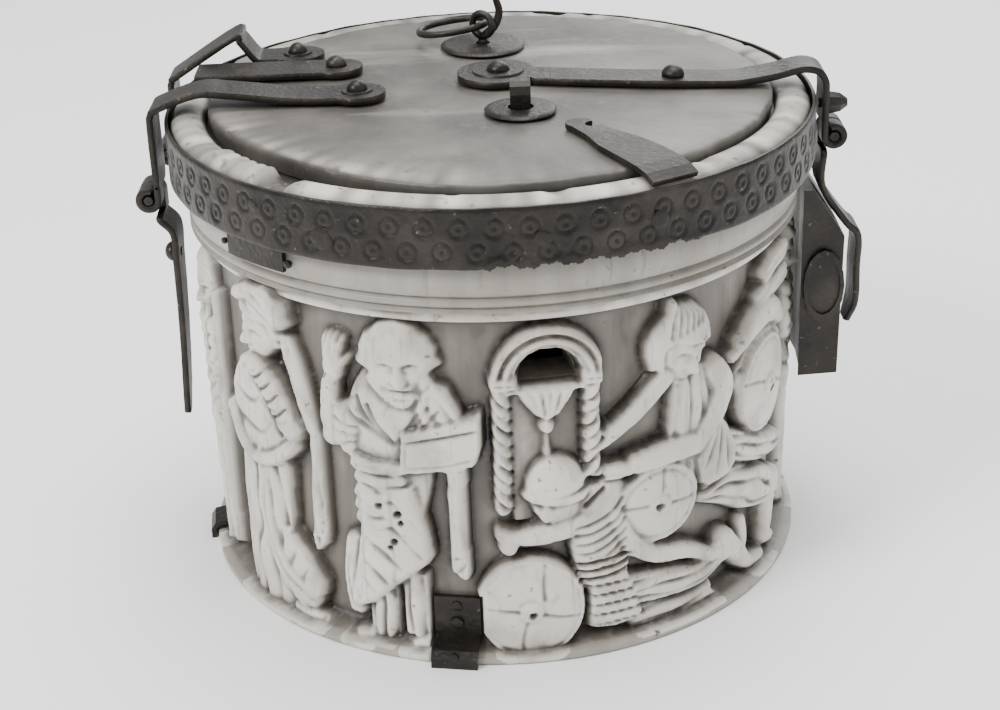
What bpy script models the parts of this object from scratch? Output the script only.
"""Ivory pyxis: a turned box carved all round with figures in high relief, with a hinged lid.

The box stands on its base at the origin, +Z up. Its front faces -Y, the hinges are at -X and
the hasp and lock at +X. Angles round the wall are in degrees from the front, growing towards +X.
"""

import math

import bmesh
import bpy
import numpy as np
from mathutils import Matrix, Vector

MM = 0.001

# Fits between pieces.
GAP = 0.3 * MM
PIN_CLEARANCE = 0.25 * MM

# The turned body.
BASE_RADIUS = 60.0 * MM
BASE_BORDER = 1.5 * MM
BORDER_STEP = 1.2 * MM
BASE_HOLLOW = 4.0 * MM
GROUND_CUT_BACK = 5.5 * MM
RELIEF_HEIGHT = 4.8 * MM
STRIP_INSET = 2.8 * MM
NECK_INSET = 1.0 * MM
NECK_BULGE = 0.7 * MM
GROOVE_DEPTH = 0.8 * MM
WALL_THICKNESS = 13.0 * MM
BODY_HEIGHT = 80.0 * MM
NECK_HEIGHT = 10.4 * MM
STRIP_HEIGHT = 2.3 * MM
GROOVE_PITCH = 1.9 * MM
RIM_WIDTH = 3.2 * MM
RIM_HEIGHT = 2.0 * MM
CHAMFER = 0.4 * MM
COARSE = 48
FINE = 6 * COARSE
BODY_TRIANGLES = 4600

# The shrine: its place round the wall and the height its arch springs from, in carving units,
# and the half width and the rise of the window cut through the wall in it.
SHRINE_ANGLE = 8.5
SHRINE_SPRING = 55.6
WINDOW_HALF_WIDTH = 5.4
WINDOW_RISE = 6.0

# The floor, a disc let into a rebate from below.
REBATE_WIDTH = 3.5 * MM
FLOOR_THICKNESS = 4.2 * MM

# The lid.
LID_OVERHANG = 0.9 * MM
LID_RING_WIDTH = 6.7 * MM
LID_LEDGE_WIDTH = 6.0 * MM
LID_LEDGE_HEIGHT = 6.9 * MM
LID_CREST_HEIGHT = 10.4 * MM
CREST_ROUND = 2.2 * MM
DISC_THICKNESS = 4.0 * MM
DISC_FLAT_DEPTH = 3.0 * MM
DISC_FLAT_ANGLE = -45.0
DISC_FLAT_REACH = 42.0
BAND_THICKNESS = 1.0 * MM
BAND_HEIGHT = 10.9 * MM
BAND_OVERHANG = 0.9 * MM

# The hinges at -X. Both turn about one line parallel to Y.
HINGE_STANDS_OUT = 6.0 * MM
HINGE_BELOW_RIM = 6.0 * MM
HINGE_PIN_RADIUS = 0.9 * MM
STRAP_THICKNESS = 1.4 * MM
STRAP_WIDTH = 8.6 * MM
STRAP_EYE_RADIUS = 5.4 * MM
HINGE_PLACES = {"front": -4.5 * MM, "back": 23.0 * MM}
STRAP_LENGTHS = {"front": 46.4 * MM, "back": 33.0 * MM}
TAIL_LENGTHS = {"front": 47.0 * MM, "back": 44.0 * MM}
STRAP_ARCH = {"front": 2.0 * MM, "back": 5.0 * MM}
STRAP_SLOPE = {"front": 2.6 * MM, "back": 7.4 * MM}
TAIL_KNEE_DROP = 7.0 * MM
TAIL_STANDS_OFF = 1.2 * MM
TAIL_KICK = 1.6 * MM

# The hasp and its lid strap at +X.
HASP_PLACE = -3.0 * MM
HASP_STANDS_OUT = 5.4 * MM
HASP_ABOVE_RIM = 1.4 * MM
HASP_WIDTH = 8.0 * MM
HASP_STRAP_LENGTH = 71.6 * MM
HASP_EYE_RADIUS = 8.0 * MM
HASP_EYE_ASIDE = 8.0 * MM
HASP_ARCH = 2.2 * MM
HASP_ARCH_LENGTH = 16.0 * MM
HASP_OUTER_RIVET_INSET = 30.4 * MM
HASP_STANDS_OFF = 3.0 * MM
HASP_LENGTH = 39.4 * MM
BALL_RADIUS = 2.3 * MM

# The lock case on the body.
LOCK_STANDS_OUT = 7.2 * MM
LOCK_OFFSET = 1.5 * MM
LOCK_WIDTH = 21.0 * MM
LOCK_HEIGHT = 30.0 * MM
LOCK_SHOULDER = 9.5 * MM
LOCK_BELOW_RIM = 7.5 * MM
LOCK_APEX_DEPTH = 0.8 * MM
HASP_CLEARANCE = 0.7 * MM
LOCK_RIM_WIDTH = 8.0 * MM
LOCK_RIM_HEIGHT = 15.0 * MM

# Lid fittings.
RIVET_RADIUS = 2.0 * MM
RIVET_HEIGHT = 1.9 * MM
RIVET_SHANK = 0.9 * MM
WASHER_THICKNESS = 0.8 * MM
EYE_PLACE = (-1.0 * MM, 27.5 * MM)
EYE_WASHER_RADIUS = 8.6 * MM
EYE_RADIUS = 2.3 * MM
WIRE_RADIUS = 0.75 * MM
HANDLE_RADIUS = 7.1 * MM
HANDLE_LIES_TOWARDS = 148.0
STAPLE_PLACE = (5.6 * MM, -16.2 * MM)
STAPLE_WASHER_RADIUS = 6.7 * MM
STAPLE_WIDTH = 3.8 * MM
STAPLE_HEIGHT = 4.6 * MM
TIE_STRAP_PLACE = (-30.0 * MM, 12.8 * MM)
TIE_STRAP_RADIUS = 5.2 * MM
TIE_STRAP_WIDTH = 9.4 * MM
TIE_STRAP_LENGTH = 33.0 * MM
CLIP_ANGLE = 30.0
CLIP_LENGTH = 31.9 * MM
CLIP_WIDTH = 9.2 * MM
CLIP_TIP_WIDTH = 4.6 * MM
CLIP_THICKNESS = 1.0 * MM

# Base fittings.
BRACKET_THICKNESS = 1.0 * MM
BASE_BRACKET_HEIGHT = 12.0 * MM
SIDE_BRACKET_HEIGHT = 28.0 * MM
BASE_BRACKET_WIDTH = 8.6 * MM
SIDE_BRACKET_WIDTH = 6.7 * MM
NECK_TAB_HEIGHT = 4.2 * MM
NECK_TAB_WIDTH = 14.6 * MM
BED_MARGIN = 1.5 * MM

# Worked out from the sizes above.
DEG = math.pi / 180
GROUND_RADIUS = BASE_RADIUS - GROUND_CUT_BACK
STRIP_RADIUS = BASE_RADIUS - STRIP_INSET
NECK_RADIUS = BASE_RADIUS - NECK_INSET
BORE_RADIUS = BASE_RADIUS - WALL_THICKNESS
NECK_BOTTOM = BODY_HEIGHT - NECK_HEIGHT
FIELD_TOP = NECK_BOTTOM - STRIP_HEIGHT
LID_RING_RADIUS = BASE_RADIUS + LID_OVERHANG
LID_OPENING = LID_RING_RADIUS - LID_RING_WIDTH
FIGURE_RADIUS = GROUND_RADIUS + RELIEF_HEIGHT
UNITS_PER_DEGREE = (GROUND_RADIUS + 0.6 * RELIEF_HEIGHT) * DEG / MM
LID_BOTTOM = BODY_HEIGHT + GAP
LEDGE_Z = LID_BOTTOM + LID_LEDGE_HEIGHT
DISC_BOTTOM = LEDGE_Z + GAP
DISC_TOP = DISC_BOTTOM + DISC_THICKNESS
CREST_Z = LID_BOTTOM + LID_CREST_HEIGHT
BAND_BOTTOM = BODY_HEIGHT - BAND_OVERHANG
BAND_TOP = BAND_BOTTOM + BAND_HEIGHT
BAND_RADIUS = LID_RING_RADIUS + GAP + BAND_THICKNESS
HINGE_OUT = BASE_RADIUS + HINGE_STANDS_OUT
HINGE_AXIS = (-HINGE_OUT, BODY_HEIGHT - HINGE_BELOW_RIM)
STRAP_ENDS = {side: length - HINGE_OUT for side, length in STRAP_LENGTHS.items()}
TAIL_BOTTOMS = {side: HINGE_AXIS[1] - length for side, length in TAIL_LENGTHS.items()}
TAIL_KNEE = HINGE_AXIS[1] - TAIL_KNEE_DROP
HASP_OUT = BASE_RADIUS + HASP_STANDS_OUT
HASP_AXIS = (HASP_OUT, BODY_HEIGHT + HASP_ABOVE_RIM)
HASP_STRAP_START = HASP_OUT - HASP_STRAP_LENGTH
HASP_OUTER_RIVET = HASP_OUT - HASP_OUTER_RIVET_INSET
HASP_TIP = HASP_AXIS[1] - HASP_LENGTH
LOCK_OUT = BASE_RADIUS + LOCK_STANDS_OUT
LOCK_APEX = BODY_HEIGHT - LOCK_BELOW_RIM
LOCK_TOP = LOCK_APEX - LOCK_SHOULDER
LOCK_BOTTOM = LOCK_TOP - LOCK_HEIGHT
CLIP_START = LID_RING_RADIUS - CLIP_LENGTH
BRACKETS = {
    "base_bracket": (-9.6, BASE_BRACKET_WIDTH, BASE_BRACKET_HEIGHT),
    "side_bracket": (-84.0, SIDE_BRACKET_WIDTH, SIDE_BRACKET_HEIGHT),
}
NECK_TAB_ANGLE = -44.0
STRAP_Z = DISC_TOP + GAP + STRAP_THICKNESS / 2


def clear_scene():
    for thing in list(bpy.data.objects):
        bpy.data.objects.remove(thing, do_unlink=True)


def make_material(name, colour, roughness, metallic=0.0):
    material = bpy.data.materials.new(name)
    material.use_nodes = True
    shader = material.node_tree.nodes["Principled BSDF"]
    shader.inputs["Base Color"].default_value = (*colour, 1.0)
    shader.inputs["Roughness"].default_value = roughness
    shader.inputs["Metallic"].default_value = metallic
    return material


def make_object(name, points, faces, material, parent=None, smooth_below=40.0):
    """A closed mesh with its faces turned outwards, placed by its parent's own position."""
    mesh = bpy.data.meshes.new(name)
    offset = Vector(parent.location) if parent else Vector((0, 0, 0))
    mesh.from_pydata([tuple(Vector(p) - offset) for p in points], [], faces)
    work = bmesh.new()
    work.from_mesh(mesh)
    bmesh.ops.recalc_face_normals(work, faces=work.faces)
    work.to_mesh(mesh)
    work.free()
    mesh.shade_smooth()
    mesh.set_sharp_from_angle(angle=smooth_below * DEG)
    mesh.materials.append(material)
    thing = bpy.data.objects.new(name, mesh)
    bpy.context.scene.collection.objects.link(thing)
    thing.parent = parent
    return thing


def make_empty(name, place):
    empty = bpy.data.objects.new(name, None)
    empty.location = place
    bpy.context.scene.collection.objects.link(empty)
    return empty


def loft(rings, closed_path=False):
    """Points and faces of a tube through equal rings of points, with flat caps if its path is open."""
    count, size = len(rings), len(rings[0])
    points = [point for ring in rings for point in ring]
    faces = []
    for i in range(count if closed_path else count - 1):
        here, there = i * size, (i + 1) % count * size
        for j in range(size):
            k = (j + 1) % size
            faces.append((here + j, here + k, there + k, there + j))
    if not closed_path:
        faces.append(tuple(range(size)))
        faces.append(tuple((count - 1) * size + j for j in range(size)))
    return points, faces


def turned(profile, segments=COARSE):
    """A closed section of (radius, height) carried round the Z axis."""
    rings = []
    for i in range(segments):
        angle = 2 * math.pi * i / segments
        rings.append([(r * math.cos(angle), r * math.sin(angle), z) for r, z in profile])
    return loft(rings, closed_path=True)


def prism(outline, low, high):
    """A flat plate of this outline between two heights."""
    return loft([[(x, y, z) for x, y in outline] for z in (low, high)])


def circle_points(radius, segments, centre=(0.0, 0.0)):
    return [
        (
            centre[0] + radius * math.cos(2 * math.pi * i / segments),
            centre[1] + radius * math.sin(2 * math.pi * i / segments),
        )
        for i in range(segments)
    ]


def arc(centre, radius, start, end, steps):
    """Points from one angle to another, in degrees, both ends included."""
    return [
        (
            centre[0] + radius * math.cos(DEG * (start + (end - start) * i / steps)),
            centre[1] + radius * math.sin(DEG * (start + (end - start) * i / steps)),
        )
        for i in range(steps + 1)
    ]


def bar(path, spans, thickness):
    """A flat bar along a path of (x, z) points. Each point has its own span (y0, y1)."""
    count = len(path)
    rings = []
    for i, (x, z) in enumerate(path):
        before, after = path[max(i - 1, 0)], path[min(i + 1, count - 1)]
        along = Vector((after[0] - before[0], after[1] - before[1])).normalized()
        nx, nz = -along[1] * thickness / 2, along[0] * thickness / 2
        y0, y1 = spans[i]
        rings.append(
            [(x - nx, y0, z - nz), (x - nx, y1, z - nz), (x + nx, y1, z + nz), (x + nx, y0, z + nz)]
        )
    return loft(rings)


def round_end(start, radius, width, centre_y, towards, steps=5):
    """Path offsets and spans of a round eye end: a disc that runs into a bar of this width."""
    offsets, spans = [], []
    meet = math.degrees(math.asin(min(width / 2 / radius, 1.0)))
    for i in range(1, steps + 1):
        angle = DEG * (180 - meet) * i / steps
        offsets.append(start + towards * radius * (1 - math.cos(angle)))
        half = radius * math.sin(angle)
        spans.append((centre_y - half, centre_y + half))
    return offsets, spans


def dome(place, radius, height, shank_radius, shank_length, axis="Z", side=1, segments=8):
    """A rivet: a domed head on a shank. place is the middle of the head's underside."""
    steps = 2
    profile = [(shank_radius, -shank_length), (shank_radius, 0.0), (radius, 0.0)]
    for i in range(1, steps + 1):
        angle = 90 * DEG * i / (steps + 0.6)
        profile.append((radius * math.cos(angle), height * math.sin(angle)))
    rings = [
        [(r * math.cos(2 * math.pi * j / segments), r * math.sin(2 * math.pi * j / segments), z)
         for j in range(segments)]
        for r, z in profile
    ]
    points, faces = loft(rings)
    turn = {
        "Z": Matrix.Identity(3),
        "X": Matrix.Rotation(math.pi / 2 * side, 3, "Y"),
        "Y": Matrix.Rotation(-math.pi / 2 * side, 3, "X"),
    }[axis]
    return [tuple(turn @ Vector(p) + Vector(place)) for p in points], faces


def add_boolean(target, cutter, operation="DIFFERENCE"):
    """Cuts or joins with a helper that is itself left out of renders."""
    cutter.hide_render = True
    cutter.display_type = "WIRE"
    step = target.modifiers.new(operation.lower() + "_" + cutter.name, "BOOLEAN")
    step.operation = operation
    step.solver = "EXACT"
    step.object = cutter
    return step


class Carving:
    """Height of the carving above the ground, on the wall rolled out flat.

    Places are (degrees round the wall, millimetres up), sizes are in the same units, which are
    nearly square: a degree is close to a millimetre. They shrink and grow with the carved field,
    which is FIELD_UNITS high.
    """

    FIELD_UNITS = 67.3
    TOP = 4.8

    def __init__(self, degrees, heights):
        self.deg = np.asarray(degrees)[:, None]
        self.z = np.asarray(heights)[None, :] * (self.FIELD_UNITS * MM / FIELD_TOP) / MM
        self.h = np.zeros((self.deg.shape[0], self.z.shape[1]))

    def across(self, degree):
        """Signed distance of every column from this degree, the short way round."""
        return ((self.deg - degree + 180) % 360 - 180) * UNITS_PER_DEGREE

    def lay(self, height):
        """Adds material up to this height, where the new form stands highest."""
        self.h = np.maximum(self.h, np.minimum(height, self.TOP))

    def ellipsoid(self, at, size, lift, rise, tilt=0.0):
        """Half an egg: size is its half width and half height, rise its bulge above lift."""
        du, dv = self.across(at[0]), self.z - at[1]
        c, s = math.cos(tilt * DEG), math.sin(tilt * DEG)
        a, b = (c * du + s * dv) / size[0], (c * dv - s * du) / size[1]
        inside = 1 - a * a - b * b
        self.lay(np.where(inside > 0, lift + rise * np.sqrt(np.maximum(inside, 0)), 0))

    def sweep(self, stations, folds=None, fold_depth=0.0, flat_ends=False):
        """A form drawn along stations of (degrees, height, half width, lift, rise).

        Its section is half an ellipse. folds(s, t) counts grooves across it: s runs from -1
        to 1 from side to side and t from 0 to 1 along it, and each whole number is a groove.
        """
        best = np.full(self.h.shape, 1e9)
        side, along = np.zeros(self.h.shape), np.zeros(self.h.shape)
        lift, rise = np.zeros(self.h.shape), np.zeros(self.h.shape)
        parts = len(stations) - 1
        for i in range(parts):
            p, q = stations[i], stations[i + 1]
            du = (q[0] - p[0]) * UNITS_PER_DEGREE
            dv = q[1] - p[1]
            length = math.hypot(du, dv)
            x, y = self.across(p[0]), self.z - p[1]
            t = (x * du + y * dv) / length**2
            held = np.clip(t, 0, 1)
            lateral = (x * dv - y * du) / length
            off = np.hypot(x - held * du, y - held * dv)
            half = p[2] + (q[2] - p[2]) * held
            ratio = off / half
            ends_here = flat_ends and ((i == 0) or (i == parts - 1))
            if ends_here:
                beyond = (t < 0) & (i == 0) | (t > 1) & (i == parts - 1)
                ratio = np.where(beyond, 1e9, ratio)
            nearer = ratio < best
            best = np.where(nearer, ratio, best)
            side = np.where(nearer, lateral / half, side)
            along = np.where(nearer, (i + held) / parts, along)
            lift = np.where(nearer, p[3] + (q[3] - p[3]) * held, lift)
            rise = np.where(nearer, p[4] + (q[4] - p[4]) * held, rise)
        inside = best < 1
        height = lift + rise * np.sqrt(np.maximum(1 - best**2, 0))
        if folds is not None:
            height = height - fold_depth * groove(folds(side, along))
        self.lay(np.where(inside, height, 0))

    def box(self, at, size, lift, edge=0.6, tilt=0.0):
        """A block with bevelled edges, size being half its width and half its height."""
        du, dv = self.across(at[0]), self.z - at[1]
        c, s = math.cos(tilt * DEG), math.sin(tilt * DEG)
        a, b = np.abs(c * du + s * dv) - size[0], np.abs(c * dv - s * du) - size[1]
        depth = np.clip(-np.maximum(a, b) / edge, 0, 1)
        self.lay(np.where(depth > 0, lift * (0.55 + 0.45 * depth), 0))

    def arch(self, at, inner, outer, lift, flat_top=None):
        """Half a ring standing on the height given by at, cut off flat above."""
        du, dv = self.across(at[0]), self.z - at[1]
        off = np.hypot(du, dv)
        inside = (off > inner) & (off < outer) & (dv >= 0)
        if flat_top is not None:
            inside &= self.z < flat_top
        middle, half = (inner + outer) / 2, (outer - inner) / 2
        bulge = np.sqrt(np.maximum(1 - ((off - middle) / half) ** 2, 0))
        self.lay(np.where(inside, lift * (0.72 + 0.28 * bulge), 0))

    def shield(self, at, radius, lift, boss=None):
        """A round shield: a shallow dome with a raised edge, cross grooves and a boss."""
        du, dv = self.across(at[0]), self.z - at[1]
        off = np.hypot(du, dv) / radius
        dome_height = lift - 1.0 + 1.0 * np.sqrt(np.maximum(1 - off**2, 0))
        spacing = radius * 0.62
        lines = np.maximum(groove((du + 0.3 * spacing) / spacing), groove(dv / spacing))
        height = dome_height - 0.35 * lines**3
        self.lay(np.where(off < 1, height, 0))
        place = boss or at
        self.ellipsoid(place, (0.21 * radius, 0.21 * radius), lift - 0.4, 1.0)

    def hand(self, at, length, tilt, lift):
        """A palm with four fingers side by side, pointing along tilt (degrees from upright)."""
        palm = 0.5 * length
        up = (math.sin(tilt * DEG), math.cos(tilt * DEG))
        self.ellipsoid(at, (0.30 * length, palm * 0.75), lift, 1.1, tilt)
        for i in range(4):
            spread = (i - 1.5) * 0.14 * length
            root = (
                at[0] + up[0] * palm * 0.4 + up[1] * spread,
                at[1] + up[1] * palm * 0.4 - up[0] * spread,
            )
            reach = length * (0.62 - 0.06 * abs(i - 1.5))
            tip = (root[0] + up[0] * reach, root[1] + up[1] * reach)
            width = 0.085 * length
            self.sweep([(*root, width, lift, 0.9), (*tip, width * 0.8, lift, 0.7)])

    def head(self, at, height, turn=0.0, lift=2.2, cap=None, beard=False, bald=False):
        """A head of calm, even proportions. turn runs from -1, facing left, to 1, facing right."""
        half_w, half_h = 0.36 * height, 0.5 * height
        shift = turn * 0.16 * height
        x, z = at
        if cap != "veil":
            behind = (x - 0.6 * shift, z + 0.05 * height)
            self.ellipsoid(behind, (half_w * 1.12, half_h * 0.98), lift - 0.9, 1.7)
        self.ellipsoid((x + 0.3 * shift, z), (half_w * 0.92, half_h), lift, 1.8)
        self.sweep(
            [(x + 1.15 * shift, z + 0.10 * height, 0.05 * height, lift + 1.5, 0.2),
             (x + 1.45 * shift, z - 0.10 * height, 0.08 * height, lift + 1.7, 0.8)]
        )
        self.sweep(
            [(x - half_w * 0.55 + shift, z + 0.11 * height, 0.04 * height, lift + 1.3, 0.6),
             (x + half_w * 0.55 + shift, z + 0.11 * height, 0.04 * height, lift + 1.3, 0.6)]
        )
        self.ellipsoid((x + 1.1 * shift, z - 0.36 * height), (0.14 * height, 0.1 * height), lift + 0.7, 0.9)
        if beard:
            self.ellipsoid((x + shift, z - 0.36 * height), (0.30 * height, 0.22 * height), lift + 0.7, 0.8)
        if bald:
            for side in (-1, 1):
                tuft = (x + side * half_w * 1.08, z + 0.05 * height)
                self.ellipsoid(tuft, (0.13 * height, 0.26 * height), lift, 1.2)
        elif cap == "helmet":
            self.ellipsoid((x, z + 0.30 * height), (half_w * 1.12, 0.34 * height), lift + 0.3, 1.9)
            self.sweep(
                [(x - half_w * 1.35, z + 0.12 * height, 0.07 * height, lift + 1.0, 0.6),
                 (x, z + 0.20 * height, 0.09 * height, lift + 1.9, 0.6),
                 (x + half_w * 1.35, z + 0.12 * height, 0.07 * height, lift + 1.0, 0.6)]
            )
        elif cap == "hood":
            crown = (x - 0.4 * shift, z + 0.26 * height)
            self.ellipsoid(crown, (half_w * 1.3, 0.32 * height), lift + 0.2, 1.9, 14 * turn)
            back = x - 2.1 * shift
            self.ellipsoid((back, z), (half_w * 0.62, 0.42 * height), lift - 0.2, 1.6)
        elif cap == "veil":
            self.sweep(
                [(x + half_w * 0.9 * np.sign(turn), z + 0.16 * height, 0.13 * height, lift, 1.6),
                 (x, z + 0.42 * height, 0.17 * height, lift + 0.2, 1.8),
                 (x - half_w * 1.0 * np.sign(turn), z + 0.16 * height, 0.22 * height, lift - 0.2, 1.8),
                 (x - half_w * 0.9 * np.sign(turn), z - 0.36 * height, 0.20 * height, lift - 0.5, 1.6)]
            )


def groove(x):
    """1 in a narrow valley at each whole number, 0 between: the cut between two folds."""
    return (1 - np.abs(np.sin(np.pi * x))) ** 2


def pleats(count, slant=0.0):
    """Fold lines that run down a robe and lean over by slant from top to bottom."""
    return lambda s, t: (s + 1) / 2 * count + slant * t + 0.5


def slung(count, sag=0.6):
    """Fold lines slung from side to side across a body, hanging lowest in the middle."""
    return lambda s, t: t * count - sag * (1 - s**2)


def carve_woman(c):
    """Veiled woman walking left, one hand at her chin."""
    c.sweep([(-55, 30, 5.5, 1.2, 1.8), (-55, 16, 8.0, 1.4, 2.2),
             (-54, 3.5, 9.0, 1.4, 2.4)], pleats(6, 0.8), 0.8)
    c.sweep([(-47, 31, 4.5, 1.0, 1.8), (-43, 18, 5.0, 1.2, 2.0),
             (-39, 6.5, 3.8, 1.0, 1.8)], pleats(4, 0.4), 0.8)
    c.sweep([(-48, 54, 6.5, 1.2, 1.6), (-51, 44, 10.0, 1.6, 2.4),
             (-50.5, 35, 7.6, 1.6, 2.4)], slung(4, 1.2), 0.7)
    c.sweep([(-41, 54, 3.2, 1.8, 1.6), (-38, 42, 3.4, 1.6, 1.8)], pleats(3), 0.5)
    c.sweep([(-39, 41, 3.3, 2.0, 2.3), (-44.5, 47.5, 2.6, 2.2, 2.2), (-49.5, 54, 1.9, 2.4, 1.8)])
    c.head((-49, 62.5), 13.0, turn=-0.8, lift=2.2, cap="veil")
    c.hand((-50.0, 55.0), 4.0, -20, 3.0)
    c.sweep([(-36.5, 44, 2.2, 1.6, 1.6), (-36, 30, 2.3, 1.4, 1.6),
             (-37, 18, 2.5, 1.4, 1.6)], pleats(2), 0.5)
    for place in ((-58.5, 1.6), (-38.0, 2.4)):
        c.ellipsoid(place, (3.6, 1.5), 1.4, 2.6, -12)


def carve_bearded_man(c):
    """Bearded man, frontal, one hand raised open, a box held out on the other arm."""
    c.sweep([(-19.5, 32, 8.2, 1.2, 2.2), (-20, 14, 8.4, 1.2, 2.2),
             (-20.5, 3.2, 7.4, 1.2, 2.2)], pleats(7), 0.8)
    c.sweep([(-19, 38, 7.6, 1.6, 2.2), (-19, 26, 9.0, 1.8, 2.3),
             (-22, 13, 5.2, 2.0, 2.2)], slung(5, -1.6), 0.6)
    c.sweep([(-18.5, 52, 8.6, 1.2, 1.8), (-19, 45, 9.6, 1.6, 2.2),
             (-19.5, 38, 7.2, 1.8, 2.2)], slung(5, 1.6), 0.6)
    c.ellipsoid((-10.0, 50.0), (5.6, 5.2), 1.6, 2.2, -24)
    for i in range(2):
        level = 38.6 - 2.4 * i
        c.sweep([(-26.5, level, 1.5, 2.4, 1.6), (-13.5, level + 0.6, 1.6, 2.6, 1.6)])
    c.box((-10.2, 43.6), (7.7, 4.1), 4.8, 0.9, 3)
    c.ellipsoid((-10.4, 40.6), (2.2, 2.2), 3.0, 1.6)
    c.sweep([(-10.0, 39, 2.3, 2.4, 1.6), (-9.4, 26, 2.2, 2.0, 1.6),
             (-9.0, 17, 2.6, 1.8, 1.6)], pleats(2), 0.4, True)
    c.sweep([(-27.0, 49, 3.6, 1.4, 1.8), (-30.0, 43.5, 3.2, 1.6, 1.8)])
    c.sweep([(-30.5, 43.5, 3.0, 1.6, 1.8), (-31.8, 54.5, 2.2, 2.0, 1.8)])
    c.hand((-32.2, 57.8), 7.6, -2, 2.0)
    c.head((-17.6, 60.4), 17.6, lift=2.4, beard=True, bald=True)
    for place in ((-26.0, 2.0), (-16.6, 1.6)):
        c.ellipsoid(place, (2.4, 1.9), 1.6, 2.8)


def carve_aedicule(c):
    """Small round-headed shrine on two twisted columns with a shell lamp hanging in it."""
    middle, spring = SHRINE_ANGLE, SHRINE_SPRING
    c.box((middle, spring + 6), (4.8, 5.6), 3.4, 0.8)
    for side in (-1, 1):
        x = middle + side * 7.9
        c.sweep([(x, spring + 1, 2.2, 1.6, 1.8),
                 (x, 24, 2.2, 1.6, 1.8)], lambda s, t: 9 * t + 0.8 * s, 0.5, True)
        c.box((x, spring + 0.4), (2.5, 1.0), 4.0, 0.4)
    c.arch((middle, spring), 6.3, 10.3, 4.3, Carving.FIELD_UNITS)
    du, dv = c.across(middle), c.z - spring
    inner = (np.abs(du) < 5.7) & (c.z > 26) & (dv < 0) | (np.hypot(du, dv) < 6.2) & (dv >= 0)
    c.h = np.where(inner, np.minimum(c.h, 0.0), c.h)
    c.sweep([(8.0, 53.6, 6.0, 1.8, 1.8), (8.0, 50.4, 4.4, 1.8, 2.0),
             (8.0, 46.4, 1.2, 1.8, 1.6)], pleats(5), 0.5)
    c.ellipsoid((8.0, 45.6), (1.5, 1.5), 2.4, 1.4)
    c.sweep([(8.0, 44.4, 0.7, 2.0, 1.0), (7.9, 40.4, 1.3, 2.0, 1.2)])


def carve_soldier_at_front(c):
    """Helmeted soldier asleep over his round shield, in scale armour, his legs stretched right."""
    c.sweep([(22, 2.2, 2.8, 1.4, 2.2), (34, 2.4, 2.9, 1.6, 2.4),
             (46, 6.0, 2.4, 1.4, 2.2)], pleats(2), 0.5)
    c.sweep([(27, 11, 4.6, 1.0, 2.0), (38, 9.5, 4.8, 1.4, 2.2),
             (46, 10.5, 3.8, 1.4, 2.4)], pleats(4, 0.6), 0.7)
    c.sweep([(46, 11.0, 3.6, 1.8, 2.6), (52, 5.5, 2.3, 1.6, 2.4), (57, 1.8, 1.9, 1.4, 2.2),
             (61, 2.6, 1.5, 1.2, 2.0)])
    c.sweep([(19, 26, 5.8, 1.8, 2.2), (19.5, 16, 7.2, 2.0, 2.6),
             (20.5, 7.5, 6.4, 1.8, 2.6)], slung(6, 1.0), 0.5)
    c.sweep([(21.5, 27.0, 3.6, 2.2, 2.2), (26.0, 19.0, 3.0, 2.2, 2.2), (35.0, 14.5, 2.3, 2.2, 2.0),
             (42.5, 12.0, 1.9, 2.4, 1.8)])
    c.shield((4.3, 10.8), 10.6, 4.7, (3.9, 9.8))
    c.ellipsoid((8.4, 13.2), (1.2, 1.2), 4.2, 0.6)
    c.sweep([(14, 24.5, 3.0, 2.2, 2.2), (6, 24.6, 3.0, 2.4, 2.2), (-0.5, 24.2, 2.7, 2.2, 2.2)])
    c.head((10.4, 33.6), 13.4, turn=-0.55, lift=2.6, cap="helmet")


def carve_soldier_leaning(c):
    """Hooded soldier leaning on his shield, his cheek on his hand, his knees to the right."""
    c.sweep([(44, 34, 5.0, 1.4, 2.0), (53, 33, 4.2, 1.4, 2.2),
             (61, 31, 3.0, 1.2, 2.0)], pleats(3, 0.4), 0.6)
    c.sweep([(41, 27, 4.2, 1.6, 2.4), (50, 24.5, 5.4, 1.8, 2.6),
             (58, 23.5, 4.6, 1.6, 2.4)], pleats(4, 0.8), 0.7)
    c.sweep([(60.5, 27, 2.8, 1.4, 2.4), (62.0, 16, 2.2, 1.2, 2.2), (61.5, 9.0, 1.7, 1.0, 2.0),
             (57.5, 7.0, 1.4, 1.0, 1.8)])
    c.shield((27.8, 28.4), 9.0, 3.6, (27.6, 28.6))
    c.sweep([(37.5, 50, 5.0, 1.4, 2.0), (42.0, 40, 6.0, 1.6, 2.4),
             (41.0, 29, 5.4, 1.6, 2.4)], pleats(5, 1.2), 0.7)
    c.sweep([(20.8, 42.8, 2.8, 1.8, 2.2), (25.0, 48.5, 2.3, 2.0, 2.2), (28.6, 53.6, 1.8, 2.2, 2.0)])
    c.sweep([(41.8, 50.0, 3.0, 2.2, 2.4), (38.4, 38.6, 2.8, 2.4, 2.4), (30.0, 37.6, 2.3, 2.4, 2.2),
             (22.5, 35.6, 2.0, 2.2, 2.0)])
    c.head((33.2, 59.0), 15.0, turn=0.75, lift=2.2, cap="hood")


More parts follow.
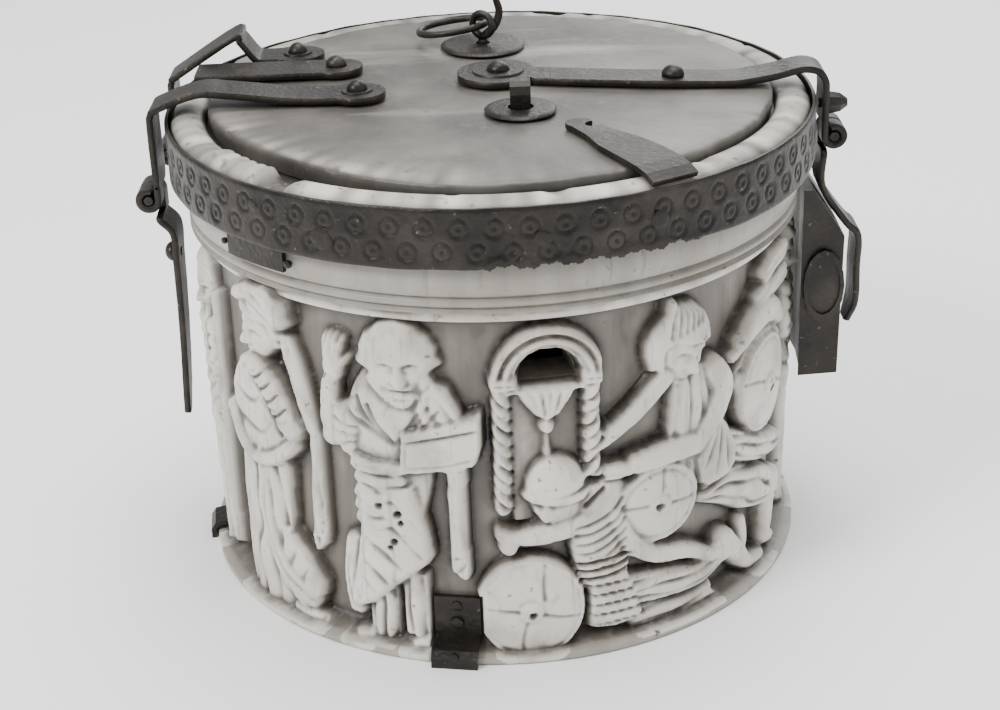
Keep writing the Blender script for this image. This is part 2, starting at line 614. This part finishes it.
def carve_soldier_behind(c):
    """Third soldier at the right: a raised forearm, a tall shield and a twisted fold above."""
    c.sweep([(66, 50, 6.0, 1.2, 2.0), (67, 38, 7.0, 1.4, 2.2), (67, 26, 6.0, 1.2, 2.0)], pleats(5), 0.7)
    c.shield((58.0, 44.0), 8.6, 3.6, (60.0, 43.0))
    c.sweep([(52.5, 51.0, 1.8, 2.4, 1.8), (57.5, 55.5, 2.4, 2.4, 2.2), (63.0, 59.5, 2.8, 2.2, 2.2)])
    for i in range(4):
        c.ellipsoid((64.2 + 1.3 * i, 58.0 + 2.7 * i), (2.5 - 0.25 * i, 1.8), 2.2, 1.8, -30)
    c.head((73.0, 58.5), 13.0, turn=0.6, lift=2.0, cap="helmet")


def carve_attendant(c, at, height=64.0, turn=0.0, arm=1, veil=True, lean=0.0):
    """A standing figure for the sides that are plainer: robe, mantle, one raised arm and a head."""
    k = height / 64.0
    foot = at + lean
    c.sweep([(at, 34 * k, 6.5 * k, 1.2, 2.0), (foot, 16 * k, 8.0 * k, 1.2, 2.2),
             (foot, 3.2, 8.2 * k, 1.2, 2.2)],
            pleats(6, 0.6 * arm), 0.8)
    c.sweep([(at, 50 * k, 7.0 * k, 1.4, 1.8), (at, 42 * k, 8.8 * k, 1.6, 2.2),
             (at, 31 * k, 7.0 * k, 1.6, 2.2)],
            slung(5, 1.2), 0.6)
    elbow = (at + arm * 8.5 * k, 40 * k)
    c.sweep([(at + arm * 6.5 * k, 49 * k, 2.9 * k, 1.8, 2.0), (*elbow, 2.6 * k, 1.8, 2.0)])
    c.sweep([(*elbow, 2.5 * k, 2.0, 2.0), (at + arm * 3.5 * k, 45 * k, 1.9 * k, 2.4, 1.9)])
    c.hand((at + arm * 2.6 * k, 46.4 * k), 4.2 * k, -35 * arm, 2.8)
    c.sweep([(at - arm * 7.2 * k, 48 * k, 2.8 * k, 1.6, 2.0),
             (at - arm * 8.4 * k, 34 * k, 2.4 * k, 1.6, 2.0)], pleats(2), 0.4)
    c.head((at, 57.5 * k), 12.6 * k, turn=turn, lift=2.2, cap="veil" if veil else None, beard=not veil)
    for side in (-1, 1):
        c.ellipsoid((foot + side * 3.6 * k, 1.7), (2.2, 1.6), 1.4, 2.6)


def carve_column(c, at):
    """A plain column with a capital that parts two figures."""
    c.sweep([(at, 58, 2.0, 1.2, 1.8), (at, 6, 2.2, 1.2, 1.8)], pleats(2), 0.3, True)
    c.box((at, 60.0), (3.4, 2.4), 3.2, 0.8)
    c.box((at, 4.6), (3.2, 1.8), 3.0, 0.8)


def carve_wall(c):
    carve_attendant(c, -80.0, 65.0, -0.6, -1, False)
    c.sweep([(-60.5, 66.5, 2.2, 1.2, 1.6), (-62.0, 57.0, 1.8, 1.4, 1.6)])
    c.sweep([(-69.5, 47, 1.2, 1.6, 1.4), (-69.5, 12, 1.1, 1.4, 1.4)])
    carve_woman(c)
    carve_aedicule(c)
    carve_bearded_man(c)
    carve_soldier_behind(c)
    carve_soldier_leaning(c)
    carve_soldier_at_front(c)
    for at, height, turn, arm, veil in (
        (112.0, 64.0, -0.5, -1, True),
        (134.0, 65.0, 0.4, 1, False),
        (178.0, 63.0, -0.5, 1, True),
        (202.0, 65.0, 0.5, -1, True),
        (246.0, 64.0, 0.5, 1, False),
    ):
        carve_attendant(c, at, height, turn, arm, veil)
    for at in (156.0, 224.0):
        carve_column(c, at)


def clear_bracket_beds(c):
    """Cuts the carving back to the ground where a bracket lies."""
    for degree, width, height in BRACKETS.values():
        reach = (width / 2 / GROUND_RADIUS / DEG + 1.6) * UNITS_PER_DEGREE
        top = (height + BED_MARGIN) * Carving.FIELD_UNITS / FIELD_TOP
        bed = (np.abs(c.across(degree)) < reach) & (c.z < top)
        c.h = np.where(bed, 0.0, c.h)


def ground_profile(z):
    """Radius of the uncarved wall at a height: base border, ground, and the strip above it."""
    step = BORDER_STEP * smooth_step(z, BASE_BORDER, BASE_BORDER + 0.5 * MM)
    hollow = (BASE_RADIUS - BORDER_STEP - GROUND_RADIUS) * smooth_step(z, BASE_BORDER, BASE_HOLLOW) ** 0.6
    border = BASE_RADIUS - step - hollow
    strip = (STRIP_RADIUS - GROUND_RADIUS) * smooth_step(z, FIELD_TOP - 0.3 * MM, FIELD_TOP + 0.5 * MM)
    return border + strip


def smooth_step(x, low, high):
    t = np.clip((x - low) / (high - low), 0, 1)
    return t * t * (3 - 2 * t)


def neck_profile():
    """Turned mouldings from the strip up to the seat: two grooves and a convex neck."""
    groove_low = NECK_BOTTOM + 1.2 * MM
    points = [(STRIP_RADIUS + 0.6 * MM, NECK_BOTTOM)]
    for level in (groove_low, groove_low + GROOVE_PITCH):
        points += [
            (NECK_RADIUS, level - 0.5 * MM),
            (NECK_RADIUS - GROOVE_DEPTH, level),
            (NECK_RADIUS, level + 0.5 * MM),
        ]
    bulge_low = groove_low + GROOVE_PITCH + 0.5 * MM
    points.append((NECK_RADIUS + NECK_BULGE, (bulge_low + BODY_HEIGHT) / 2))
    points += [(NECK_RADIUS, BODY_HEIGHT - CHAMFER), (NECK_RADIUS - CHAMFER, BODY_HEIGHT)]
    return points


def rim_and_bore_profile():
    """From the seat over the rim that keys the lid, down the bore and out under the base."""
    rebate = BORE_RADIUS + REBATE_WIDTH
    rim_top = BODY_HEIGHT + RIM_HEIGHT
    return [
        (BORE_RADIUS + RIM_WIDTH, BODY_HEIGHT),
        (BORE_RADIUS + RIM_WIDTH - CHAMFER, rim_top),
        (BORE_RADIUS, rim_top),
        (BORE_RADIUS, FLOOR_THICKNESS + GAP),
        (rebate, FLOOR_THICKNESS + GAP),
        (rebate, 0.0),
        (BASE_RADIUS - CHAMFER, 0.0),
        (BASE_RADIUS, CHAMFER),
    ]


def ring_at(radius, z, count):
    angles = 2 * math.pi * np.arange(count) / count
    radius = np.broadcast_to(radius, angles.shape)
    return np.stack([radius * np.sin(angles), -radius * np.cos(angles), np.full(count, z)], axis=1)


def join_rings(first, first_count, second, second_count):
    """Faces between two rings. Where one has six times the points, each step is a fan."""
    if first_count == second_count:
        n = first_count
        return [(first + j, first + (j + 1) % n, second + (j + 1) % n, second + j) for j in range(n)]
    swap = first_count > second_count
    coarse, fine = (second, first) if swap else (first, second)
    few, many = min(first_count, second_count), max(first_count, second_count)
    step = many // few
    faces = []
    for j in range(few):
        a, b = coarse + j, coarse + (j + 1) % few
        edge = [fine + (j * step + k) % many for k in range(step + 1)]
        half = step // 2
        new = [(a, edge[k], edge[k + 1]) for k in range(half)]
        new.append((a, edge[half], b))
        new += [(b, edge[k], edge[k + 1]) for k in range(half, step)]
        faces += [face[::-1] for face in new] if swap else new
    return faces


def make_body(ivory):
    """The wall: carved outside, turned at the neck and inside, in one closed mesh."""
    levels = np.linspace(CHAMFER, NECK_BOTTOM, 72)[1:]
    degrees = 360.0 * np.arange(FINE) / FINE
    field = Carving(degrees, levels)
    carve_wall(field)
    clear_bracket_beds(field)
    wall = ground_profile(levels)[None, :]
    relief = GROUND_RADIUS + field.h * RELIEF_HEIGHT / Carving.TOP
    fade = smooth_step(NECK_BOTTOM - levels, 0.0, 0.6 * MM)[None, :]
    radius = wall + np.maximum(relief - wall, 0) * fade
    rings = [(ring_at(radius[:, i], level, FINE), FINE) for i, level in enumerate(levels)]
    for r, z in neck_profile() + rim_and_bore_profile():
        rings.append((ring_at(r, z, COARSE), COARSE))
    starts = np.cumsum([0] + [count for _, count in rings])
    faces = []
    for i in range(len(rings)):
        k = (i + 1) % len(rings)
        faces += join_rings(int(starts[i]), rings[i][1], int(starts[k]), rings[k][1])
    points = np.concatenate([ring for ring, _ in rings])
    body = make_object("pyxis_body", points.tolist(), faces, ivory)
    group = body.vertex_groups.new(name="carved")
    group.add(list(range(int(starts[len(levels)]))), 1.0, "REPLACE")

    thin = body.modifiers.new("Decimate", "DECIMATE")
    thin.vertex_group = group.name
    total = sum(len(face) - 2 for face in faces)
    thin.ratio = BODY_TRIANGLES / total

    add_boolean(body, make_object("shrine_window", *loft(window_rings()), ivory))
    return body


def window_rings():
    """The half round window in the shrine's arch, from inside the bore to outside the figures."""
    to_metres = FIELD_TOP / Carving.FIELD_UNITS
    rings = []
    for depth in (BORE_RADIUS - 3 * MM, FIGURE_RADIUS + 3 * MM):
        ring = []
        for turn in range(0, 181, 20):
            across = WINDOW_HALF_WIDTH * math.cos(turn * DEG)
            angle = (SHRINE_ANGLE + across / UNITS_PER_DEGREE) * DEG
            z = (SHRINE_SPRING + WINDOW_RISE * math.sin(turn * DEG)) * to_metres
            ring.append((depth * math.sin(angle), -depth * math.cos(angle), z))
        rings.append(ring)
    return rings


def make_floor(ivory):
    outline = circle_points(BORE_RADIUS + REBATE_WIDTH - GAP, COARSE)
    turn = Matrix.Rotation(-math.pi / 2, 2)
    outline = [tuple(turn @ Vector(p)) for p in outline]
    points, faces = prism(outline, 0.0, FLOOR_THICKNESS)
    return make_object("floor_disc", points, faces, ivory)


def disc_radius(degree):
    """The lid's disc is round but for a flattened stretch at the front left."""
    off = abs((degree - DISC_FLAT_ANGLE + 180) % 360 - 180) / DISC_FLAT_REACH
    flat = math.cos(min(off, 1.0) * math.pi / 2) ** 2
    return LID_OPENING - GAP - DISC_FLAT_DEPTH * flat


def make_lid_plate(ivory, lid):
    outline = []
    for i in range(COARSE):
        degree = 360.0 * i / COARSE
        r = disc_radius(degree)
        outline.append((r * math.sin(degree * DEG), -r * math.cos(degree * DEG)))
    points, faces = prism(outline, DISC_BOTTOM, DISC_TOP)
    plate = make_object("lid_disc", points, faces, ivory, lid)
    edge = plate.modifiers.new("Bevel", "BEVEL")
    edge.width = 0.5 * MM
    edge.segments = 1
    return plate


def make_lid_ring(ivory, lid):
    """The lid's side: a turned ring with a rounded crest and a ledge inside for the disc."""
    inner = LID_OPENING - LID_LEDGE_WIDTH
    middle = (LID_OPENING + LID_RING_RADIUS) / 2
    half = (LID_RING_RADIUS - LID_OPENING) / 2
    base = CREST_Z - CREST_ROUND
    profile = [
        (inner, LID_BOTTOM + RIM_HEIGHT + GAP),
        (BORE_RADIUS + RIM_WIDTH + GAP, LID_BOTTOM + RIM_HEIGHT + GAP),
        (BORE_RADIUS + RIM_WIDTH + GAP, LID_BOTTOM),
        (LID_RING_RADIUS, LID_BOTTOM),
    ]
    for degree in (0, 55, 125):
        height = base + CREST_ROUND * math.sin(degree * DEG)
        profile.append((middle + half * math.cos(degree * DEG), height))
    profile += [(LID_OPENING, base), (LID_OPENING, LEDGE_Z), (inner, LEDGE_Z)]
    points, faces = turned(profile)
    return make_object("lid_ring", points, faces, ivory, lid)


def make_band(bronze, lid):
    inner = BAND_RADIUS - BAND_THICKNESS
    profile = [
        (inner, BAND_BOTTOM),
        (BAND_RADIUS, BAND_BOTTOM),
        (BAND_RADIUS, BAND_TOP - 0.3 * MM),
        (BAND_RADIUS - 0.3 * MM, BAND_TOP),
        (inner, BAND_TOP),
    ]
    points, faces = turned(profile)
    return make_object("lid_band", points, faces, bronze, lid)


def roll_radius():
    return HINGE_PIN_RADIUS + PIN_CLEARANCE + STRAP_THICKNESS / 2


def rolled_end(axis, sweep, steps=7):
    """The end of a bar rolled round a pin. It starts on the side of the pin that faces +X."""
    return arc(axis, roll_radius(), 0, sweep, steps)


def pin_piece(name, axis, y, half, bronze, parent=None):
    rings = []
    for end in (y - half, y + half):
        rings.append([(axis[0] + r, end, axis[1] + z) for r, z in circle_points(HINGE_PIN_RADIUS, 10)])
    make_object(name, *loft(rings), bronze, parent)


def rivet_with_hole(
    name, place, bronze, parent, through, radius=RIVET_RADIUS, height=RIVET_HEIGHT, axis="Z", side=1
):
    """A rivet whose shank passes through a bored hole in the piece that it holds."""
    shank = STRAP_THICKNESS + 1.5 * GAP
    make_object(name, *dome(place, radius, height, RIVET_SHANK, shank, axis, side), bronze, parent)
    hole = RIVET_SHANK + PIN_CLEARANCE
    drill = dome(place, hole, 2 * MM, hole * 0.98, 6 * MM, axis, side)
    add_boolean(through, make_object(name + "_drill", *drill, bronze))


def make_hinge(side, bronze, lid):
    """One hinge: a strap on the lid, a tail on the body, and the pin through both rolls."""
    y = HINGE_PLACES[side]
    half, joint = STRAP_WIDTH / 2, GAP / 2
    inner_x = HINGE_AXIS[0] + roll_radius()
    shoulder = roll_radius() + STRAP_THICKNESS
    reach = math.sqrt(BAND_RADIUS**2 - y**2)
    top = STRAP_Z + STRAP_ARCH[side]
    offsets, spans = round_end(STRAP_ENDS[side], STRAP_EYE_RADIUS, STRAP_WIDTH, y, -1)
    path = [(x, STRAP_Z) for x in offsets]
    eye = (STRAP_ENDS[side] - STRAP_EYE_RADIUS, y)
    lift_start, lift_end = path[-1][0] - 4 * MM, -reach + 7 * MM
    for i in range(5):
        share = i / 4
        rise = float(smooth_step(share, 0, 1)) * (top - STRAP_Z)
        path.append((lift_start + (lift_end - lift_start) * share, STRAP_Z + rise))
    low = top - STRAP_SLOPE[side]
    path += [(inner_x + 1.4 * MM, low), (inner_x + 0.3 * MM, low - 1.2 * MM), (inner_x, low - 3 * MM)]
    path.append((inner_x, HINGE_AXIS[1] + shoulder))
    spans += [(y - half, y + half)] * (len(path) - len(spans))
    path.append((inner_x, HINGE_AXIS[1] + shoulder - 0.4 * MM))
    path += rolled_end(HINGE_AXIS, -290)
    spans += [(y - half, y - joint)] * (len(path) - len(spans))
    strap = make_object(f"hinge_strap_{side}", *bar(path, spans, STRAP_THICKNESS), bronze, lid)
    seat = STRAP_Z + STRAP_THICKNESS / 2 + GAP
    rivet_with_hole(f"hinge_rivet_{side}", (*eye, seat), bronze, lid, strap)

    wall_x = -math.sqrt(BASE_RADIUS**2 - y**2)
    flat_x = wall_x - GAP - STRAP_THICKNESS / 2 - TAIL_STANDS_OFF
    path = rolled_end(HINGE_AXIS, 290)[::-1]
    path.append((inner_x, HINGE_AXIS[1] - shoulder + 0.4 * MM))
    spans = [(y + joint, y + half)] * len(path)
    path += [(inner_x, HINGE_AXIS[1] - shoulder), (inner_x, HINGE_AXIS[1] - shoulder - 1 * MM)]
    spans += [(y - half, y + half)] * 2
    knee, bottom = TAIL_KNEE, TAIL_BOTTOMS[side]
    steps = 7
    for i in range(steps + 1):
        share = i / steps
        path.append((flat_x - TAIL_KICK * share**2, knee + (bottom - knee) * share))
        width = half * (1.0 - 0.5 * share) * (0.45 if i == steps else 1.0)
        spans.append((y - width, y + width))
    tail = make_object(f"hinge_tail_{side}", *bar(path, spans, STRAP_THICKNESS), bronze)
    outside = flat_x - STRAP_THICKNESS / 2 - GAP
    place = (outside, y, knee - 5 * MM)
    rivet_with_hole(f"tail_rivet_{side}", place, bronze, None, tail, axis="X", side=-1)
    pin_piece(f"hinge_pin_{side}", HINGE_AXIS, y, half, bronze)


def make_hasp(bronze, lid):
    """The strap on the lid, the hasp that hangs from it, and their pin."""
    y, half, joint = HASP_PLACE, HASP_WIDTH / 2, GAP / 2
    roll, shoulder = roll_radius(), roll_radius() + STRAP_THICKNESS
    down_x = HASP_AXIS[0] - roll
    eye_x = HASP_STRAP_START + HASP_EYE_RADIUS
    lift = BAND_RADIUS - HASP_ARCH_LENGTH

    def middle(x):
        """The strap swings over to its round end, which lies aside of the hasp."""
        left = max(0.0, min((lift - x) / (lift - eye_x), 1.0))
        return y + HASP_EYE_ASIDE * left**1.4

    offsets, spans = round_end(HASP_STRAP_START, HASP_EYE_RADIUS, HASP_WIDTH, middle(eye_x), 1)
    path = [(x, STRAP_Z) for x in offsets]
    top = STRAP_Z + HASP_ARCH
    run = lift - path[-1][0]
    path += [(lift - share * run, STRAP_Z) for share in (0.75, 0.5, 0.25, 0.0)]
    path += [(lift + 0.5 * HASP_ARCH_LENGTH, (STRAP_Z + top) / 2), (lift + 0.8 * HASP_ARCH_LENGTH, top)]
    corner = 2.4 * MM
    path += [(-x, z) for x, z in arc((-down_x + corner, top - corner), corner, 90, 180, 3)]
    path.append((down_x, HASP_AXIS[1] + shoulder))
    spans += [(middle(x) - half, middle(x) + half) for x, _ in path[len(spans):]]
    path.append((down_x, HASP_AXIS[1] + shoulder - 0.4 * MM))
    mirrored = rolled_end((-HASP_AXIS[0], HASP_AXIS[1]), -290)
    path += [(-x, z) for x, z in mirrored]
    spans += [(y - half, y - joint)] * (len(path) - len(spans))
    strap = make_object("hasp_strap", *bar(path, spans, STRAP_THICKNESS), bronze, lid)
    seat = STRAP_Z + STRAP_THICKNESS / 2 + GAP
    for name, x in (("inner", eye_x), ("outer", HASP_OUTER_RIVET)):
        rivet_with_hole(f"hasp_rivet_{name}", (x, middle(x), seat), bronze, lid, strap)
    ball = (down_x + STRAP_THICKNESS / 2 + GAP, y, HASP_AXIS[1] + shoulder + BALL_RADIUS)
    rivet_with_hole("hasp_ball_rivet", ball, bronze, lid, strap, BALL_RADIUS, 1.7 * BALL_RADIUS, "X")

    place = Vector((HASP_AXIS[0], y, HASP_AXIS[1]))
    pivot = make_empty("hasp_axis", place - lid.location)
    pivot.parent = lid
    face = LOCK_OUT + STRAP_THICKNESS / 2 + HASP_STANDS_OFF
    low = HASP_AXIS[1] - shoulder
    path = [(-x, z) for x, z in rolled_end((-HASP_AXIS[0], HASP_AXIS[1]), 290)[::-1]]
    path.append((down_x, low + 0.4 * MM))
    spans = [(y + joint, y + half)] * len(path)
    slope = (Vector((LOCK_OUT, LOCK_TOP)) - Vector((lock_seat() + LOCK_APEX_DEPTH, LOCK_APEX))).normalized()
    away = Vector((-slope[1], slope[0])) * (STRAP_THICKNESS / 2 + HASP_CLEARANCE)
    corner = Vector((LOCK_OUT, LOCK_TOP)) + away
    knee = corner + slope * ((down_x - corner[0]) / slope[0])
    path += [(down_x, low), tuple(knee), tuple(corner)]
    path += [(face, corner[1] - 2.6 * MM), (face, HASP_TIP + 5 * MM)]
    spans += [(y - half, y + half)] * 5
    path.append((face - 1.2 * MM, HASP_TIP))
    spans.append((y - 0.45 * half, y + 0.45 * half))
    hasp = make_object("hasp", *bar(path, spans, STRAP_THICKNESS), bronze)
    move_to_parent(hasp, pivot, place)
    pin_piece("hasp_pin", HASP_AXIS, y, half, bronze, lid)


def move_to_parent(thing, parent, place):
    """Gives a piece its origin at place, on the parent's own position."""
    thing.data.transform(Matrix.Translation(-place))
    thing.parent = parent


def lock_seat():
    """Radius that the lock's hollow back is cut to."""
    return max(BASE_RADIUS, NECK_RADIUS + NECK_BULGE) + GAP


def make_lock(bronze):
    """The lock case: a box with a sloping shoulder, hollowed behind to fit the round wall."""
    y0 = HASP_PLACE + LOCK_OFFSET - LOCK_WIDTH / 2
    back = BORE_RADIUS
    seat = lock_seat()
    outline = [
        (back, LOCK_BOTTOM),
        (LOCK_OUT - 0.4 * MM, LOCK_BOTTOM + 1 * MM),
        (LOCK_OUT, LOCK_TOP),
        (seat + LOCK_APEX_DEPTH, LOCK_APEX),
        (back, LOCK_APEX),
    ]
    rings = [[(x, y, z) for x, z in outline] for y in (y0, y0 + LOCK_WIDTH)]
    lock = make_object("lock_case", *loft(rings), bronze)
    middle = (LOCK_OUT + seat) / 2 - 0.3 * MM
    high = (LOCK_TOP + LOCK_BOTTOM) / 2 + 5 * MM
    rim = []
    for grow, depth in ((1.0, 1.0), (1.0, -0.9), (0.8, -0.9), (0.8, -0.4)):
        ring = []
        for i in range(16):
            a = 2 * math.pi * i / 16
            x = middle + grow * LOCK_RIM_WIDTH / 2 * math.cos(a)
            z = high + grow * LOCK_RIM_HEIGHT / 2 * math.sin(a)
            ring.append((x, y0 + depth * MM, z))
        rim.append(ring)
    add_boolean(lock, make_object("lock_rim", *loft(rim), bronze), "UNION")
    round_wall = prism(circle_points(seat / math.cos(math.pi / COARSE), COARSE), 0.0, BODY_HEIGHT)
    add_boolean(lock, make_object("lock_seat", *round_wall, bronze))


def make_washer(name, place, radius, hole, bronze, lid):
    """A flat round plate with a hole, lying on the lid."""
    low = DISC_TOP + GAP
    high = low + WASHER_THICKNESS
    profile = [(hole, low), (radius, low), (radius - 0.2 * MM, high), (hole, high)]
    points, faces = turned(profile, 16)
    points = [(x + place[0], y + place[1], z) for x, y, z in points]
    make_object(name, points, faces, bronze, lid)


def torus(centre, major, minor, normal, big=24, small=8):
    """A round wire bent into a ring about this normal."""
    rings = []
    normal = Vector(normal).normalized()
    side = normal.orthogonal().normalized()
    other = normal.cross(side)
    for i in range(big):
        a = 2 * math.pi * i / big
        out = side * math.cos(a) + other * math.sin(a)
        ring = []
        for j in range(small):
            b = 2 * math.pi * j / small
            reach = major + minor * math.cos(b)
            ring.append(tuple(Vector(centre) + out * reach + normal * minor * math.sin(b)))
        rings.append(ring)
    return loft(rings, closed_path=True)


def handle_frame():
    """Where the handle hangs: its pivot, the way it lies, and the line that it turns about."""
    lies = Vector((math.cos(HANDLE_LIES_TOWARDS * DEG), math.sin(HANDLE_LIES_TOWARDS * DEG), 0))
    pivot = Vector((*EYE_PLACE, DISC_TOP + GAP + WASHER_THICKNESS + EYE_RADIUS + 1.4 * MM))
    return pivot, lies, Vector((-lies.y, lies.x, 0))


def make_handle(bronze, lid):
    """The split pin with its eye and washer, and the ring that hangs in the eye."""
    pivot, lies, line = handle_frame()
    make_washer("eye_washer", EYE_PLACE, EYE_WASHER_RADIUS, 1.4 * MM, bronze, lid)
    pin = make_object("eye_pin", *torus(pivot, EYE_RADIUS, 0.8 * MM, line, 12, 6), bronze, lid)
    low = DISC_TOP + GAP
    shank = prism(circle_points(1.1 * MM, 10, EYE_PLACE), low, pivot.z - EYE_RADIUS + 0.3 * MM)
    add_boolean(pin, make_object("eye_shank", *shank, bronze), "UNION")
    start = pivot - Vector((0, 0, EYE_RADIUS + 0.3 * MM)) + Vector((0.2 * MM, 0, 0))
    tip = start + Vector((2.0 * MM, -0.4 * MM, 9.6 * MM))
    bend = start + Vector((3.4 * MM, 0, 4.4 * MM))
    rings = []
    for place in (start, bend, tip):
        rings.append([tuple(place + Vector((x, y, 0))) for x, y in circle_points(0.9 * MM, 8)])
    add_boolean(pin, make_object("eye_leg", *loft(rings), bronze), "UNION")
    sag = math.asin(min((pivot.z - low - 2 * WIRE_RADIUS - WASHER_THICKNESS) / (2 * HANDLE_RADIUS), 0.9))
    down = Vector((lies.x * math.cos(sag), lies.y * math.cos(sag), -math.sin(sag)))
    centre = pivot + down * HANDLE_RADIUS
    ring = torus(centre, HANDLE_RADIUS, WIRE_RADIUS, line.cross(down), 20, 6)
    handle = make_object("handle_ring", *ring, bronze)
    holder = make_empty("handle_axis", pivot - lid.location)
    holder.parent = lid
    move_to_parent(handle, holder, pivot)


def make_staple(bronze, lid):
    """A strip that stands in its own washer and is turned over at the top."""
    x, y = STAPLE_PLACE
    slot = STAPLE_WIDTH / 2 + 0.5 * MM
    make_washer("staple_washer", STAPLE_PLACE, STAPLE_WASHER_RADIUS, slot, bronze, lid)
    low = DISC_TOP + GAP
    top = low + STAPLE_HEIGHT
    path = [(y, low), (y, top - 1.6 * MM), (y + 0.5 * MM, top - 0.5 * MM)]
    path += [(y + 1.7 * MM, top), (y + 3.2 * MM, top)]
    spans = [(x - STAPLE_WIDTH / 2, x + STAPLE_WIDTH / 2)] * len(path)
    points, faces = bar(path, spans, 1.1 * MM)
    points = [(b, a, z) for a, b, z in points]
    make_object("staple", points, faces, bronze, lid)


def turn_about_z(points, degree):
    """Turns points laid out along +X to an angle round the wall, from the front."""
    turn = Matrix.Rotation((degree - 90) * DEG, 3, "Z")
    return [tuple(turn @ Vector(p)) for p in points]


def make_clip(bronze, lid):
    """A broken strap that runs from the disc over the lid's edge to the band."""
    high = DISC_TOP + GAP + CLIP_THICKNESS / 2
    crest = CREST_Z + GAP + CLIP_THICKNESS / 2
    offsets, spans = round_end(CLIP_START, 0.5 * CLIP_TIP_WIDTH + 0.2 * MM, CLIP_TIP_WIDTH, 0.0, 1, 4)
    path = [(x, high) for x in offsets]
    middle = (LID_OPENING + LID_RING_RADIUS) / 2
    path += [(CLIP_START + 9 * MM, high), (CLIP_START + 15 * MM, high), (LID_OPENING - 3 * MM, high)]
    path += [(middle - 1.5 * MM, max(crest, high - 0.3 * MM)), (middle + 1.2 * MM, crest)]
    path.append((LID_RING_RADIUS, crest - 0.9 * MM))
    half = CLIP_WIDTH / 2
    spans += [(-0.6 * half, 0.6 * half), (-0.9 * half, 0.9 * half)] + [(-half, half)] * 4
    points, faces = bar(path, spans, CLIP_THICKNESS)
    clip = make_object("lid_clip", turn_about_z(points, CLIP_ANGLE), faces, bronze, lid)
    hole = circle_points(1.5 * MM, 12, (CLIP_START + 4.6 * MM, 1.6 * MM))
    points, faces = prism(hole, high - 3 * MM, high + 3 * MM)
    add_boolean(clip, make_object("clip_hole", turn_about_z(points, CLIP_ANGLE), faces, bronze))


def make_tie_plate(bronze, lid):
    """The broken strap beside the back hinge: a riveted round end and a flat run to the rim."""
    x, y = TIE_STRAP_PLACE
    offsets, spans = round_end(x + TIE_STRAP_RADIUS, TIE_STRAP_RADIUS, TIE_STRAP_WIDTH, y, -1)
    path = [(offset, STRAP_Z) for offset in offsets]
    path.append((x + TIE_STRAP_RADIUS - TIE_STRAP_LENGTH, STRAP_Z))
    spans.append((y - TIE_STRAP_WIDTH / 2, y + TIE_STRAP_WIDTH / 2))
    plate = make_object("tie_plate", *bar(path, spans, STRAP_THICKNESS), bronze, lid)
    seat = STRAP_Z + STRAP_THICKNESS / 2 + GAP
    rivet_with_hole("tie_rivet", (x, y, seat), bronze, lid, plate)


def make_brackets(bronze):
    """Plates that hold the base: they lie in cleared beds and lap over the border."""
    for name, (degree, width, height) in BRACKETS.items():
        half_width = width / 2
        sagitta = GROUND_RADIUS - math.sqrt(GROUND_RADIUS**2 - half_width**2)
        inner = GROUND_RADIUS + GAP + sagitta + BRACKET_THICKNESS / 2
        outer = BASE_RADIUS + GAP + sagitta + BRACKET_THICKNESS / 2
        path = [(inner, height), (inner, BASE_HOLLOW), (outer - BORDER_STEP / 2, BASE_BORDER + 1.4 * MM)]
        path += [(outer, BASE_BORDER + 0.4 * MM), (outer, 0.0)]
        spans = [(-half_width, half_width)] * len(path)
        points, faces = bar(path, spans, BRACKET_THICKNESS)
        make_object(name, turn_about_z(points, degree), faces, bronze)


def make_neck_tab(bronze):
    inner = NECK_RADIUS + NECK_BULGE + GAP
    top = BAND_BOTTOM - GAP
    outer = inner + 0.8 * MM
    low = top - NECK_TAB_HEIGHT
    profile = [(inner, low), (outer, low), (outer, top), (inner, top)]
    rings = []
    for i in range(5):
        a = NECK_TAB_ANGLE * DEG + NECK_TAB_WIDTH / inner * (i / 4 - 0.5)
        rings.append([(r * math.sin(a), -r * math.cos(a), z) for r, z in profile])
    make_object("neck_tab", *loft(rings), bronze)


def main():
    clear_scene()
    ivory = make_material("ivory", (0.74, 0.69, 0.60), 0.42)
    lid_ivory = make_material("weathered_ivory", (0.30, 0.28, 0.25), 0.5)
    bronze = make_material("dark_bronze", (0.07, 0.065, 0.06), 0.45, 0.8)
    lid = make_empty("lid_axis", (HINGE_AXIS[0], 0.0, HINGE_AXIS[1]))
    make_body(ivory)
    make_floor(ivory)
    make_lid_plate(lid_ivory, lid)
    make_lid_ring(ivory, lid)
    make_band(bronze, lid)
    for side in HINGE_PLACES:
        make_hinge(side, bronze, lid)
    make_hasp(bronze, lid)
    make_lock(bronze)
    make_handle(bronze, lid)
    make_staple(bronze, lid)
    make_clip(bronze, lid)
    make_tie_plate(bronze, lid)
    make_brackets(bronze)
    make_neck_tab(bronze)


main()
